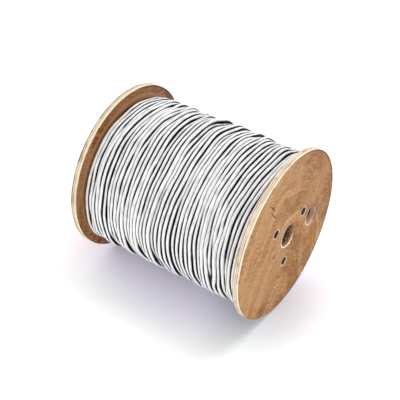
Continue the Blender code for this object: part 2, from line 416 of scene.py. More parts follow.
# the last argument is how far below the flange the board turns black, painted shade deep inside the drum
def boardFinish(name, light, dark, shadedBelow=0.0):
    finish = Finish(name, roughness=board["roughness"])
    x, y, z = finish.place()
    angle = angleRound(y, z)
    seam = finish.noise(x * 14.0, angle * 3.0, 0.0, detail=4.0)
    fibre = finish.noise(x * 300.0, y * 300.0, z * 300.0, detail=3.0, roughness=0.7)
    wrap = (x * 30.0 + angle).sine() * 0.5 + 0.5
    joint = finish.step(wrap, 0.97, 1.0, 0.0, 0.6)
    colour = finish.ramp(seam * 0.6 + fibre * 0.4, [(0.3, light), (0.7, dark)])
    colour = finish.blend(joint * 0.6, colour, board["joint"])
    if shadedBelow:
        below = innerFace - abs(x) + gain(fibre, 0.0012)
        colour = finish.blend(finish.step(below, shadedBelow - 0.0006, shadedBelow + 0.0006), colour, board["glue"])
    finish.feed("Base Color", colour)
    finish.bump(fibre - joint, board["relief"], 0.6)
    return finish.material


def steelFinish(name, bright, dark, tarnish, tarnished, metallic=1.0):
    finish = Finish(name, metallic=metallic)
    x, y, z = finish.place()
    cloud = finish.noise(x, y, z, 260.0, 3.0, 0.6)
    scratch = finish.noise(x * 200.0, y * 2600.0, z * 300.0)
    colour = finish.ramp(cloud, [(0.3, bright), (0.75, dark)])
    dull = finish.step(cloud, 0.38, 0.62, 0.0, tarnished)
    finish.feed("Base Color", finish.blend(dull, colour, tarnish))
    finish.feed("Roughness", gain(cloud, 0.5) + gain(scratch, 0.2) + 0.40)
    finish.bump(scratch, 0.00003, 0.5)
    return finish.material


nearVeneer = veneerFinish("near_veneer", 0.0, tone=(0.875, 0.875, 0.870))
farVeneer = veneerFinish("far_veneer", 3.7)
innerVeneer = veneerFinish("inner_veneer", 5.3, figure=1.7, tone=(0.62, 0.54, 0.53), rubbed=0.0130)
nearRimPly = plyEdgeFinish("near_rim_ply", nearBands, (0.98, 1.0, 1.04), 0.22)
farRimPly = plyEdgeFinish("far_rim_ply", farBands, (0.86, 0.86, 0.84), 0.30)
# painted shade in the holes: deepen darkens each wall away from the face, and the pocket's copy is toned
# near black
boreSawn = plyEdgeFinish("sawn_ply", sawnBands, (1.0, 0.78, 0.66), 0.60, 0.85)
driveSawn = plyEdgeFinish("drive_hole_ply", sawnBands, (1.20, 1.02, 0.96), 0.40, 0.34)
pocketSawn = plyEdgeFinish("pocket_ply", sawnBands, (0.22, 0.17, 0.14), 0.50, 0.90)
arrisPly = plyEdgeFinish("broken_arris", lipBands, (1.0, 0.97, 0.92), 0.30)
tornGrain = tornFinish("torn_grain")
cableWhite = sheathFinish("white_sheath")
barrelBoard = boardFinish("wound_cardboard", srgb(96, 88, 80), srgb(70, 62, 56))
hubBoard = boardFinish("grey_hub_board", srgb(246, 246, 248), srgb(228, 228, 234), 0.0088)
blackSteel = steelFinish("blackened_steel", srgb(30, 29, 29), srgb(12, 12, 12), srgb(8, 8, 7), 0.8)
dullSteel = steelFinish(
    "dull_screw_steel", srgb(150, 116, 84), srgb(108, 76, 48), srgb(84, 56, 34), 0.85, metallic=0.3)
print("finishes made")


# Mesh making

def newPiece(name, mesh, materials, nodes):
    for material in materials:
        mesh.materials.append(material)
    piece = bpy.data.objects.new(name, mesh)
    bpy.context.scene.collection.objects.link(piece)
    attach(piece, "root")
    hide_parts(*nodes)
    return piece


def meshFrom(bm, name, angle=35):
    bmesh.ops.recalc_face_normals(bm, faces=bm.faces)
    mesh = bpy.data.meshes.new(name)
    bm.to_mesh(mesh)
    bm.free()
    mesh.shade_smooth()
    mesh.set_sharp_from_angle(angle=math.radians(angle))
    return mesh


def loop(bm, middle, x, radius, count):  # a closed ring of points, its radius a number or a function
    points = []
    for index in range(count):
        angle = fullTurn * index / count
        r = radius(angle) if callable(radius) else radius
        across = x(angle) if callable(x) else x
        y, z = middle[0] + r * math.cos(angle), middle[1] + r * math.sin(angle)
        points.append(bm.verts.new((across, y, z)))
    return points


def bridge(bm, first, second, material=0):  # the material a number or a function of the angle
    count = len(first)
    for index in range(count):
        after = (index + 1) % count
        face = bm.faces.new((first[index], first[after], second[after], second[index]))
        face.material_index = material(fullTurn * index / count) if callable(material) else material


def loft(bm, loops, material=0):
    for first, second in zip(loops, loops[1:]):
        bridge(bm, first, second, material)


def fillFlat(bm, loops, material, facing):  # one flat face round its holes
    edges = []
    for points in loops:
        for ends in zip(points, points[1:] + points[:1]):
            edges.append(bm.edges.get(ends) or bm.edges.new(ends))
    made = bmesh.ops.triangle_fill(bm, use_beauty=True, edges=edges, normal=(facing, 0, 0))
    for face in made["geom"]:
        if isinstance(face, bmesh.types.BMFace):
            face.material_index = material


def waves(seed, count, lowest, highest, size):  # smooth noise round a circle
    random = np.random.default_rng(seed)
    orders = random.integers(lowest, highest, count)
    phases = random.uniform(0, fullTurn, count)
    sizes = random.uniform(0.4, 1.0, count)
    sizes *= size / sizes.sum()

    def height(angle):
        return float((sizes * np.sin(orders * angle + phases)).sum())
    return height


# Flanges

flange = {
    "rimPoints": 576,
    "pocketPoints": 48,
    "seatPoints": 32,
    "arris": 0.0005,
    "chips": 26,
    "chipWidth": (0.006, 0.030),
    "chipDepth": 0.0016,
    "fuzz": 0.00025,
    "rough": 0.00012,
    "glueSunk": 0.00012,
    "pocketRadius": 0.0078,
    "pocketArris": 0.0009,
    "pocketLip": 0.00015,
    "pocketRagged": 0.0003,
    "rodHoleRadius": 0.0034,
    "seatThickness": 0.0035,
    "headGap": 0.00025,
    "screwHole": 0.0025,
    "countersink": 0.0030,
}
# places in a flange's list of materials
onFace, onRim, onBore, onInside, onArris, onTorn, onDrive, onPocket = range(8)
# a drilled hole's lip: pale broken wood from paleFrom to the hole's own paleTo, a dark line elsewhere
lip = {
    "points": 96,
    "width": 0.0015,
    "splintered": 900,
    "widest": math.radians(190),
    "deepest": math.radians(-45),
    "paleFrom": math.radians(85),
    "tornAt": math.radians(-72),
    "tornSpread": 0.42,
}
bore = {
    "radius": 0.020,
    "ragged": 0.0012,
    "torn": 0.0042,
    "paleTo": math.radians(335),
    "wall": onBore,
    "seed": 31,
}
drive = {
    "radius": 0.019,
    "ragged": 0.0007,
    "torn": 0.0,
    "paleTo": math.radians(290),
    "wall": onDrive,
    "seed": 47,
}


def chipList(seed):
    random = np.random.default_rng(seed)
    places = random.uniform(0, fullTurn, flange["chips"])
    widths = random.uniform(*flange["chipWidth"], flange["chips"])
    depths = flange["chipDepth"] * random.uniform(0.15, 1.0, flange["chips"]) ** 2
    return list(zip(places, widths, depths))


def chipAt(chips, angle):
    depth = 0.0
    for place, width, size in chips:
        away = abs((angle - place + math.pi) % fullTurn - math.pi) / width
        if away < 1:
            depth = max(depth, size * (1 - away ** 2))
    return depth


# ends in rim radii
scratches = [
    {"start": (-0.425, 0.722), "end": (-0.325, 0.595), "width": 0.0030, "depth": 0.0013},
    {"start": (-0.398, 0.612), "end": (-0.372, 0.572), "width": 0.0018, "depth": 0.0009},
    {"start": (-0.377, 0.585), "end": (-0.291, 0.460), "width": 0.0022, "depth": 0.0012},
    {"start": (-0.366, -0.742), "end": (-0.338, -0.757), "width": 0.0036, "depth": 0.0012},
]
scratchSteps = 8


def scratchLoop(bm, scratch, side):  # a narrow torn groove, sharp at both ends
    start, end = Vector(scratch["start"]) * rimRadius, Vector(scratch["end"]) * rimRadius
    run = end - start
    aside = Vector((-run.y, run.x)).normalized()
    face, sunk = side * outerFace, side * (outerFace - scratch["depth"])
    ragged = waves(int(abs(start.x) * 1e6), 5, 2, 9, 0.3)
    upper, lower, bottom = [], [], []
    for index in range(scratchSteps + 1):
        share = index / scratchSteps
        middle = start + run * share
        half = scratch["width"] / 2 * math.sin(math.pi * min(max(share, 0.02), 0.98)) ** 0.6
        across = aside * half * (1 + ragged(share * 5))
        upper.append(bm.verts.new((face, *(middle + across))))
        lower.append(bm.verts.new((face, *(middle - across))))
        bottom.append(bm.verts.new((sunk, *middle)))
    faces = []
    for row in (upper, lower):
        for index in range(scratchSteps):
            faces.append((row[index], row[index + 1], bottom[index + 1], bottom[index]))
    faces += [(upper[tip], bottom[tip], lower[tip]) for tip in (0, -1)]
    for points in faces:
        bm.faces.new(points).material_index = onTorn
    return upper + lower[::-1]


def holeLoops(bm, middle, side, hole):
    radius, points, arris = hole["radius"], lip["points"], flange["arris"] * 0.6
    rough = waves(hole["seed"], 9, 5, 40, hole["ragged"])
    fine = waves(hole["seed"] + 1, 9, 3, 20, hole["ragged"] * 0.4)

    def lipMaterial(angle):
        return onArris if lip["paleFrom"] < angle < hole["paleTo"] else onTorn

    def front(angle):  # wide where the drill broke out, thin on the other side
        width = lip["width"] * (0.5 + 0.5 * math.cos(angle - lip["widest"]))
        away = ((angle - lip["tornAt"] + math.pi) % fullTurn - math.pi) / lip["tornSpread"]
        torn = hole["torn"] * math.exp(-away * away)
        torn *= 0.5 + 0.5 * math.sin(angle * 37) * math.sin(angle * 23)
        return radius + width * (1 + abs(rough(angle)) * lip["splintered"]) + torn

    def drop(angle):
        return side * (outerFace - lip["width"] * (0.30 + 0.20 * math.cos(angle - lip["deepest"])))

    loops = [loop(bm, middle, side * outerFace, front, points)]
    loops.append(loop(bm, middle, drop, lambda a: radius + fine(a) * 0.5, points))
    bridge(bm, *loops, lipMaterial)
    for ply in range(1, plyEdge["plies"]):
        depth = thickness * ply / plyEdge["plies"]
        wall = waves(hole["seed"] + ply * 7, 9, 4, 30, flange["rough"])
        loops.append(loop(bm, middle, side * (outerFace - depth), lambda a: radius + wall(a), points))
    loops.append(loop(bm, middle, side * (innerFace + arris), lambda a: radius + fine(a) * 0.5, points))
    loops.append(loop(bm, middle, side * innerFace, lambda a: radius + arris + abs(fine(a)), points))
    loft(bm, loops[1:], hole["wall"])
    return loops[0], loops[-1]


def pocketLoops(bm, middle, side, seed):  # a nut's pocket and the rod's hole behind it
    points = flange["pocketPoints"]
    rough = waves(seed, 7, 3, 16, flange["pocketRagged"])
    pocket, hole = flange["pocketRadius"], flange["rodHoleRadius"]
    broken = pocket + flange["pocketArris"]
    lipFace, seat = outerFace - flange["pocketLip"], innerFace + flange["seatThickness"]
    loops = [loop(bm, middle, side * outerFace, lambda a: broken + abs(rough(a)), points)]
    loops.append(loop(bm, middle, side * lipFace, lambda a: pocket + rough(a) * 0.3, points))
    bridge(bm, *loops, onArris)
    for x, radius in ((seat, pocket), (seat, hole), (innerFace, hole)):
        loops.append(loop(bm, middle, side * x, radius, points))
    loft(bm, loops[1:], onPocket)
    return loops[0], loops[-1]


def screwSeatLoops(bm, node, side):  # the countersink round a screw's head
    middle, head, low, high = roundNode(node)
    head += flange["headGap"]
    rough = waves(int(abs(middle[0]) * 1e5), 7, 3, 14, 0.0003)
    hole = flange["screwHole"]
    profile = [(outerFace, lambda a: head + abs(rough(a)))]
    profile += [(outerFace - flange["countersink"], hole), (innerFace, hole)]
    loops = [loop(bm, middle, side * x, radius, flange["seatPoints"]) for x, radius in profile]
    loft(bm, loops, onBore)
    return loops[0], loops[-1]


def rimLoops(bm, side, seed):
    points, arris = flange["rimPoints"], flange["arris"]
    outerChips, innerChips = chipList(seed), chipList(seed + 50)
    fuzz = waves(seed + 2, 14, 20, 160, flange["fuzz"])

    def front(angle):
        return rimRadius - arris - chipAt(outerChips, angle) - abs(fuzz(angle))

    def back(angle):
        return rimRadius - arris - chipAt(innerChips, angle) - abs(fuzz(angle + 2))

    def frontDrop(angle):
        return side * (outerFace - arris - chipAt(outerChips, angle) * 0.9)

    def backDrop(angle):
        return side * (innerFace + arris + chipAt(innerChips, angle) * 0.9)

    def worn(angle):
        return rimRadius - abs(fuzz(angle)) * 0.3

    loops = [loop(bm, (0, 0), side * outerFace, front, points), loop(bm, (0, 0), frontDrop, worn, points)]
    rows = plyEdge["plies"] * 2
    for row in range(2, rows - 1):
        wall = waves(seed + row * 11, 12, 30, 180, flange["rough"])
        radius = rimRadius - (0.0 if row % 2 else flange["glueSunk"])  # the even rows are glue lines
        x = side * (outerFace - thickness * row / rows)
        loops.append(loop(bm, (0, 0), x, lambda a: radius - abs(wall(a)), points))
    loops.append(loop(bm, (0, 0), backDrop, worn, points))
    loops.append(loop(bm, (0, 0), side * innerFace, back, points))
    bridge(bm, loops[0], loops[1], onFace)
    loft(bm, loops[1:-1], onRim)
    bridge(bm, loops[-2], loops[-1], onInside)
    return loops[0], loops[-1]


def makeFlange(side, sideName, seed, faceMaterial, rimMaterial):
    bm = bmesh.new()
    driveMiddle = middleAcross(*openings[f"{sideName}_drive_hole"])
    rings = [rimLoops(bm, side, seed)]
    rings.append(holeLoops(bm, (0, 0), side, bore))
    rings.append(holeLoops(bm, driveMiddle, side, drive))
    for number in (1, 2, 3):
        nutMiddle = roundNode(f"nut_{sideName}_{number}")[0]
        rings.append(pocketLoops(bm, nutMiddle, side, 60 + number))
        rings.append(screwSeatLoops(bm, f"screw_{sideName}_{number}", side))
    fronts = [front for front, back in rings]
    if sideName == "near":
        fronts += [scratchLoop(bm, scratch, side) for scratch in scratches]
    fillFlat(bm, fronts, onFace, side)
    fillFlat(bm, [back for front, back in rings], onInside, -side)
    mesh = meshFrom(bm, f"drum_flange_{sideName}")
    materials = [faceMaterial, rimMaterial, boreSawn, innerVeneer]
    materials += [arrisPly, tornGrain, driveSawn, pocketSawn]
    newPiece(f"drum_flange_{sideName}", mesh, materials, [f"flange_{sideName}"])


makeFlange(1, "near", 11, nearVeneer, nearRimPly)
makeFlange(-1, "far", 211, farVeneer, farRimPly)
print("flanges made")


# Nuts, rods and screws

steel = {
    "threadPitch": 0.001,
    "threadDepth": 0.00055,
    "threadEnd": 0.018,
    "threadSteps": 5,
    "rodPoints": 20,
    "rodTaper": 0.0004,
    "nutPoints": 72,
    "nutHole": 0.0031,
    "nutAcrossFlats": 0.010,
    "collarHeight": 0.0013,
    "screwPoints": 64,
    "screwShank": 0.0022,
    "screwHeadHeight": 0.0030,
    "screwTip": 0.004,
    "recessDepth": 0.0018,
}


def hexRadius(acrossFlats, limit):
    def radius(angle):
        within = (angle + math.pi / 6) % (math.pi / 3) - math.pi / 6
        return min(acrossFlats / 2 / math.cos(within), limit)
    return radius


def makeNut(sideName, side, number):
    node = f"nut_{sideName}_{number}"
    middle, collar, low, high = roundNode(node)
    height = high - low
    seat = low if side > 0 else high
    flats, hole, rise = steel["nutAcrossFlats"], steel["nutHole"], steel["collarHeight"]
    body, top = hexRadius(flats, flats / math.sqrt(3)), hexRadius(flats, flats / 2 * 0.97)
    profile = [(hole, 0.0), (collar - 0.0002, 0.0), (collar, 0.0003), (collar - 0.0003, rise * 0.6)]
    profile += [(body, rise), (body, height - 0.0007), (top, height), (hole + 0.0004, height)]
    profile += [(hole, height - 0.0004), (hole, 0.0)]
    bm = bmesh.new()
    loft(bm, [loop(bm, middle, seat + side * x, radius, steel["nutPoints"]) for radius, x in profile])
    bmesh.ops.remove_doubles(bm, verts=bm.verts, dist=1e-6)
    newPiece(f"flange_{node}", meshFrom(bm, node), [blackSteel], [node])


def loftClosed(bm, loops):  # with a flat face on each end
    loft(bm, loops)
    bm.faces.new(loops[0])
    bm.faces.new(loops[-1])


def makeRod(number):
    node = f"tie_rod_{number}"
    middle, radius, low, high = roundNode(node)
    pitch, depth = steel["threadPitch"], steel["threadDepth"]
    step = pitch / steel["threadSteps"]
    ends = np.arange(0, steel["threadEnd"], step)

    def threadAt(x):
        tip = min(x - low, high - x) < step / 2
        outer = radius - (steel["rodTaper"] if tip else 0.0)
        return lambda angle: outer - depth * abs((x / pitch + angle / fullTurn) % 1 * 2 - 1)

    places = list(low + ends) + list(high - ends[::-1])
    bm = bmesh.new()
    loftClosed(bm, [loop(bm, middle, x, threadAt(x), steel["rodPoints"]) for x in places])
    newPiece(f"threaded_{node}", meshFrom(bm, node, 60), [blackSteel], [node])


def crossRadius(head, share=1.0):
    def radius(angle):
        arm = abs(math.cos(2 * angle)) ** 7
        return head * (0.20 + 0.36 * arm) * share
    return radius


def makeScrew(sideName, side, number):
    node = f"screw_{sideName}_{number}"
    middle, head, low, high = roundNode(node)
    length = high - low
    top = high if side > 0 else low
    shank = steel["screwShank"]
    profile = [(crossRadius(head, 0.45), -steel["recessDepth"]), (crossRadius(head), 0.0)]
    profile += [(head - 0.0001, 0.0), (head, -0.00015), (shank, -steel["screwHeadHeight"])]
    profile += [(shank, steel["screwTip"] - length), (0.0003, -length)]
    bm, points = bmesh.new(), steel["screwPoints"]
    loftClosed(bm, [loop(bm, middle, top + side * x, radius, points) for radius, x in profile])
    newPiece(f"cross_{node}", meshFrom(bm, node), [dullSteel], [node])


for number in (1, 2, 3):
    makeRod(number)
    for sideName, side in (("near", 1), ("far", -1)):
        makeNut(sideName, side, number)
        makeScrew(sideName, side, number)
print("nuts, rods and screws made")


# Cable winding

# heaps on the winding, as in the part's source: width, half turns round, phase and height
windingHeaps = [
    (0.0335, 0, 0.28, 0.0024),
    (0.0270, 1, 2.20, 0.0014),
    (0.0450, -2, 4.10, 0.0010),
    (0.0310, 3, 1.10, 0.0008),
]
heapFade = 0.022
# where the heaps stand out more: angle, spread and share
slackAt = [(49, 16, 0.80), (216, 20, 0.90)]
# where neighbours differ more in height, and where the grooves get more painted shade
unevenAt = [(47, 14, 1.30), (218, 14, 0.60)]
grooveShadeAt = [(46, 13, 1.50), (76, 24, 0.48), (140, 40, 0.12), (212, 26, 1.10)]
# where the last turn, beside the far flange, lies lower: angle, spread and drop
farDips = [(95, 42, 0.0036)]
cable = {
    "diameter": 0.0068,
    "turns": 41,
    "margin": 0.0150,
    "samples": 128,
    "sides": 18,
    "underSamples": 96,
    "underSides": 8,
    "buriedPoints": 96,
    "skin": 0.0003,
    "layerRise": 0.0060,
    "clearance": 0.0004,
    "edgeFade": 0.020,
    "edgeLeast": 0.15,
    "sway": 0.0030,
    "ripple": 0.0005,
    "pairing": 0.00105,
    "pairSharp": 2.2,
    "pairDrift": 1.2,
    "stepDrift": 2.4,
    "jitter": 0.00030,
    "kinks": 0.00042,
    "pairStep": 0.00080,
    "bob": 0.00055,
    "widestGap": 0.0011,
    "hollowWidth": 0.34,
    "hollowGap": 0.0014,
    "hollowDark": 0.50,
    "touchingLight": 0.20,
    "push": 0.8,
    "pull": 0.08,
    "stiffness": 0.25,
    "rounds": 60,
    "lastRounds": 12,  # in which the turns are no longer smoothed
    "lowest": 0.0016,
    "gapDark": 0.66,
    "gapLeast": 0.00005,
    "gapReach": 0.0006,
    "dipFrom": (1.5, 1.1),  # this many turns before the end the last turn starts to dip, and is down
    "tuckShare": 14,  # a turn's share in which each end goes down between the layers
    "tuckDepth": 1.1,
    "endLayers": 9,
    "endInset": (0.02, 0.35),
    "endSway": 0.0005,
}
windRadius = rimRadius - cable["margin"]
cableRadius = cable["diameter"] / 2
turnPitch = (2 * windHalf - cable["diameter"]) / cable["turns"]
topLayerRadius = windRadius - cableRadius - cable["skin"]
underLayerRadius = topLayerRadius - cable["layerRise"]
# turns that ride up over their neighbours: place along the drum, angle, spread, rise and shift
proudTurns = [
    {"x": 0.062, "angle": 88, "spread": 22, "rise": 0.0026, "shift": 0.0034},
    {"x": -0.010, "angle": 120, "spread": 30, "rise": 0.0022, "shift": 0.0030},
    {"x": -0.115, "angle": 140, "spread": 26, "rise": 0.0024, "shift": -0.0028},
    {"x": 0.085, "angle": 160, "spread": 24, "rise": 0.0024, "shift": 0.0030},
    {"x": 0.100, "angle": 300, "spread": 30, "rise": 0.0028, "shift": 0.0030},
    {"x": -0.100, "angle": 330, "spread": 26, "rise": 0.0030, "shift": 0.0032},
]
# shorter ones, strewn all over: how many, spread, rise and shift
strewn = {"count": 46, "spread": (9, 20), "rise": (0.0006, 0.0019), "shift": (-0.0026, 0.0026)}
# the last turn of a heap leans over the hollow beside it
leaning = {"angles": (48, 216), "spread": 22, "rise": (0.0012, 0.0026), "shift": 0.0022, "before": 0.0065}


def strewnTurns():
    random = np.random.default_rng(83)
    turns = []
    for number in range(strewn["count"]):
        place = {"x": random.uniform(-0.13, 0.13), "angle": random.uniform(0, 360)}
        for what in ("spread", "rise", "shift"):
            place[what] = random.uniform(*strewn[what])
        turns.append(place)
    return turns


def leaningTurns():
    width, halfTurns, phase = windingHeaps[0][:3]
    random = np.random.default_rng(71)
    turns = []
    for angle in leaning["angles"]:
        for line in np.arange(-4, 5) * width - width * phase / math.pi:
            place = {"x": line - leaning["before"] + random.uniform(-0.002, 0.002)}
            place |= {"angle": angle + random.uniform(-9, 9), "spread": leaning["spread"]}
            place |= {"rise": random.uniform(*leaning["rise"]), "shift": leaning["shift"]}
            if abs(place["x"]) < windHalf - heapFade / 2:
                turns.append(place)
    return turns


def field(seed, count, lengths, orders):  # smooth noise over the drum's surface
    random = np.random.default_rng(seed)
    stretch = fullTurn / random.uniform(*lengths, count)
    order = random.integers(orders[0], orders[1], count)
    phase = random.uniform(0, fullTurn, count)
    weight = random.uniform(0.5, 1.0, count)
    weight /= np.sqrt((weight ** 2).sum() / 2)

    def value(x, angle):
        total = np.zeros_like(x)
        for k, m, p, w in zip(stretch, order, phase, weight):
            total += w * np.sin(k * x + m * angle + p)
        return total
    return value


def ridge(x, angle, width, halfTurns, phase):  # one along the top of a heap, none between two
    return np.abs(np.sin(math.pi * x / width + halfTurns * angle / 2 + phase))


def hollow(x, angle):  # one along the lines between two heaps, none elsewhere
    return np.clip(1 - ridge(x, angle, *windingHeaps[0][:3]) / cable["hollowWidth"], 0, 1)


def bells(angle, places):  # a smooth bump round each of the angles
    total = 0.0
    for middle, spread, size in places:
        away = (np.degrees(angle) - middle + 180) % 360 - 180
        total = total + size * np.exp(-(away / spread) ** 2 / 2)
    return total


def heap(x, angle):
    height = 0.0
    for *shape, rise in windingHeaps:
        height += rise * (ridge(x, angle, *shape) - 2 / math.pi)
    return height * (1 + bells(angle, slackAt)) * np.clip((windHalf - np.abs(x)) / heapFade, 0, 1)


def alongCable(seed, turn, slowest=1.2, fastest=5.8, count=9):  # noise of its own for each turn
    random = np.random.default_rng(seed)
    rates = random.uniform(slowest, fastest, count)
    phases = random.uniform(0, fullTurn, count)
    ripples = np.sin(fullTurn * np.outer(rates, turn) + phases[:, None])
    return ripples.sum(axis=0) / math.sqrt(count / 2)


def parted(x, r, gap, size, widest):  # keeps turns from lying inside each other or far apart
    dx, dr = x[gap:] - x[:-gap], r[gap:] - r[:-gap]
    away = np.hypot(dx, dr)
    push = (np.clip(size - away, 0, None) - np.clip(away - widest, 0, None)) / 2 * cable["push"]
    x[gap:] += push * dx / away
    x[:-gap] -= push * dx / away
    r[gap:] += push * dr / away
    r[:-gap] -= push * dr / away


def layTopTurns():
    samples, size = cable["samples"], cable["diameter"]
    index = np.arange(cable["turns"] * samples + 1)
    turn = index / samples
    angle = fullTurn * (index % samples) / samples
    start = windHalf - cableRadius - turnPitch * turn
    edge = np.clip((windHalf - np.abs(start)) / cable["edgeFade"], cable["edgeLeast"], 1)
    sway = cable["sway"] * field(5, 9, (0.140, 0.360), (-4, 5))(start, angle)
    sway += cable["ripple"] * field(6, 7, (0.022, 0.045), (-5, 6))(start, angle)
    drift = field(8, 6, (0.050, 0.140), (-4, 5))(start, angle)
    pairs = np.tanh(cable["pairSharp"] * np.cos(math.pi * turn + cable["pairDrift"] * drift))
    wanted = start + edge * (sway + cable["pairing"] * pairs)
    wanted += edge * cable["jitter"] * alongCable(12, turn)
    wanted += edge * cable["kinks"] * alongCable(13, turn, 6.0, 13.0)
    stepDrift = field(9, 5, (0.05, 0.14), (-3, 4))(start, angle)
    steps = np.cos(math.pi * turn + cable["stepDrift"] * stepDrift)
    base = topLayerRadius + heap(start, angle)
    uneven = cable["pairStep"] * steps * edge + cable["bob"] * alongCable(14, turn, 4.0, 15.0)
    height = base + uneven * (1 + bells(angle, unevenAt))
    begin, full = cable["dipFrom"]
    inDip = np.clip((turn - cable["turns"] + begin) / (begin - full), 0, 1)
    height -= inDip * bells(angle, farDips)
    for proud in proudTurns + leaningTurns() + strewnTurns():
        whole = round((windHalf - cableRadius - proud["x"]) / turnPitch - proud["angle"] / 360)
        middle = (whole + proud["angle"] / 360) * samples
        spread = proud["spread"] / 360 * samples
        bell = np.exp(-((index - middle) / spread) ** 2 / 2)
        height += proud["rise"] * bell
        wanted += proud["shift"] * bell
    x, r = wanted.copy(), height.copy()
    lowest = np.maximum(cable["lowest"], base - height + cable["lowest"] / 2)
    between = hollow(start, angle)
    widest = size + cable["widestGap"] + cable["hollowGap"] * (between[samples:] + between[:-samples]) / 2
    for turnedRound in range(cable["rounds"]):
        parted(x, r, samples, size, widest)
        parted(x, r, 2 * samples, size, 1.0)
        x += (wanted - x) * cable["pull"]
        r += (height - r) * cable["pull"]
        if turnedRound < cable["rounds"] - cable["lastRounds"]:
            r[1:-1] += ((r[:-2] + r[2:]) / 2 - r[1:-1]) * cable["stiffness"]
            x[1:-1] += ((x[:-2] + x[2:]) / 2 - x[1:-1]) * cable["stiffness"]
        x = np.clip(x, -windHalf + cableRadius, windHalf - cableRadius)
        r = np.maximum(r, base - lowest)
    tuck = samples // cable["tuckShare"]
    slope = np.arange(tuck) / tuck
    drop = (1 - slope * slope * (3 - 2 * slope)) * size * cable["tuckDepth"]
    r[:tuck] -= drop
    r[-tuck:] -= drop[::-1]
    return x, r, fullTurn * turn, between


# how much of the sky each point of each turn sees past its neighbours, darkened further by painted shade
# beside wide gaps, in the hollows between heaps and at some angles round the drum
def skyShare(x, r, angle, between, gap, sides):
    count = len(x)
    turn = fullTurn * np.arange(sides) / sides
    tilt = np.arctan2(-np.sin(turn), np.cos(turn))
    pointX = x[:, None] + cableRadius * np.sin(tilt)
    pointR = r[:, None] + cableRadius * np.cos(tilt)
    least = np.maximum(-math.pi / 2, tilt - math.pi / 2) + np.zeros((count, 1))
    most = np.minimum(math.pi / 2, tilt + math.pi / 2) + np.zeros((count, 1))
    gapShade, bright = np.zeros((count, sides)), np.zeros((count, sides))
    for shift in (-2 * gap, -gap, gap, 2 * gap):
        there = np.arange(count) + shift
        inside = (there >= 0) & (there < count)
        there = np.clip(there, 0, count - 1)
        dx = x[there][:, None] - pointX
        dr = r[there][:, None] - pointR
        toward = np.arctan2(dx, dr)
        half = np.arcsin(np.minimum(cableRadius / np.hypot(dx, dr), 1))
        if abs(shift) == gap:
            apart = np.abs(x[there] - x)[:, None] - cable["diameter"] - cable["gapLeast"]
            wide = np.clip(apart / cable["gapReach"], 0, 1) * inside[:, None]
            flank = np.clip(np.sin(tilt) * (1 if shift < 0 else -1), 0, 1)
            # painted shade on the flank beside a wide gap
            gapShade = np.maximum(gapShade, wide * flank ** 7)
            bright = np.where(flank > 0, (1 - wide) * inside[:, None], bright)
        if shift < 0:
            most = np.where(inside[:, None], np.minimum(most, toward - half), most)
        else:
            least = np.where(inside[:, None], np.maximum(least, toward + half), least)
    seen = (np.sin(most - tilt) - np.sin(least - tilt)) / 2
    shade = 1 - np.where(most > least, np.clip(seen, 0, 1), 0)
    shade *= 1 - cable["touchingLight"] * bright
    # painted shade, deeper in the hollows between heaps and at some angles round the drum
    shade *= (1 + cable["hollowDark"] * between + bells(angle, grooveShadeAt))[:, None]
    return np.clip(1 - shade - cable["gapDark"] * gapShade, 0, 1)


def keepOpenness(mesh, openness):
    shade = mesh.attributes.new("openness", "FLOAT", "POINT")
    shade.data.foreach_set("value", openness.astype(np.float32).ravel())


def tubeMesh(name, x, r, angle, sides, openness, closed=False):
    count = len(x)
    outward = np.stack([np.zeros(count), np.cos(angle), np.sin(angle)], axis=1)
    centre = outward * r[:, None]
    centre[:, 0] = x
    if closed:
        run = np.roll(centre, -1, axis=0) - np.roll(centre, 1, axis=0)
    else:
        run = np.gradient(centre, axis=0)
    run /= np.linalg.norm(run, axis=1)[:, None]
    up = outward - run * (outward * run).sum(axis=1)[:, None]
    up /= np.linalg.norm(up, axis=1)[:, None]
    aside = np.cross(run, up)
    turn = fullTurn * np.arange(sides) / sides
    lift = np.cos(turn)[None, :, None] * up[:, None]
    lean = np.sin(turn)[None, :, None] * aside[:, None]
    points = centre[:, None] + cableRadius * (lift + lean)
    rings = np.arange(count if closed else count - 1)[:, None] * sides
    after = (rings + sides) % (count * sides)
    side = np.arange(sides)
    nextSide = (side + 1) % sides
    faces = np.stack([rings + side, rings + nextSide, after + nextSide, after + side], axis=-1)
    polygons = faces.reshape(-1, 4).tolist()
    if not closed:
        polygons.append(list(range(sides))[::-1])
        polygons.append(list(range((count - 1) * sides, count * sides)))
    mesh = bpy.data.meshes.new(name)
    mesh.from_pydata(points.reshape(-1, 3).tolist(), [], polygons)
    keepOpenness(mesh, openness)
    mesh.shade_smooth()
    return mesh


def flipIfInside(mesh):  # faces of a tube all point the same way, so one sum tells
    bm = bmesh.new()
    bm.from_mesh(mesh)
    if bm.calc_volume(signed=True) < 0:
        bmesh.ops.reverse_faces(bm, faces=bm.faces)
    bm.to_mesh(mesh)
    bm.free()
    return mesh


def newCable(mesh):
    newPiece(mesh.name, mesh, [cableWhite], ["winding"])


def makeTopTurns():
    x, r, angle, between = layTopTurns()
    seen = skyShare(x, r, angle, between, cable["samples"], cable["sides"])
    newCable(flipIfInside(tubeMesh("cable_top_turns", x, r, angle, cable["sides"], seen)))


def makeUnderTurns():  # the layer below, wound the other way
    samples, sides = cable["underSamples"], cable["underSides"]
    turn = np.arange(cable["turns"] * samples + 1) / samples
    x = -windHalf + cableRadius + turnPitch * turn
    r = underLayerRadius + heap(x, fullTurn * turn) - cable["clearance"]
    # painted shade: the layer below is coloured dark all over
    seen = np.full((len(turn), sides), 0.22)
    newCable(flipIfInside(tubeMesh("cable_under_turns", x, r, fullTurn * turn, sides, seen)))


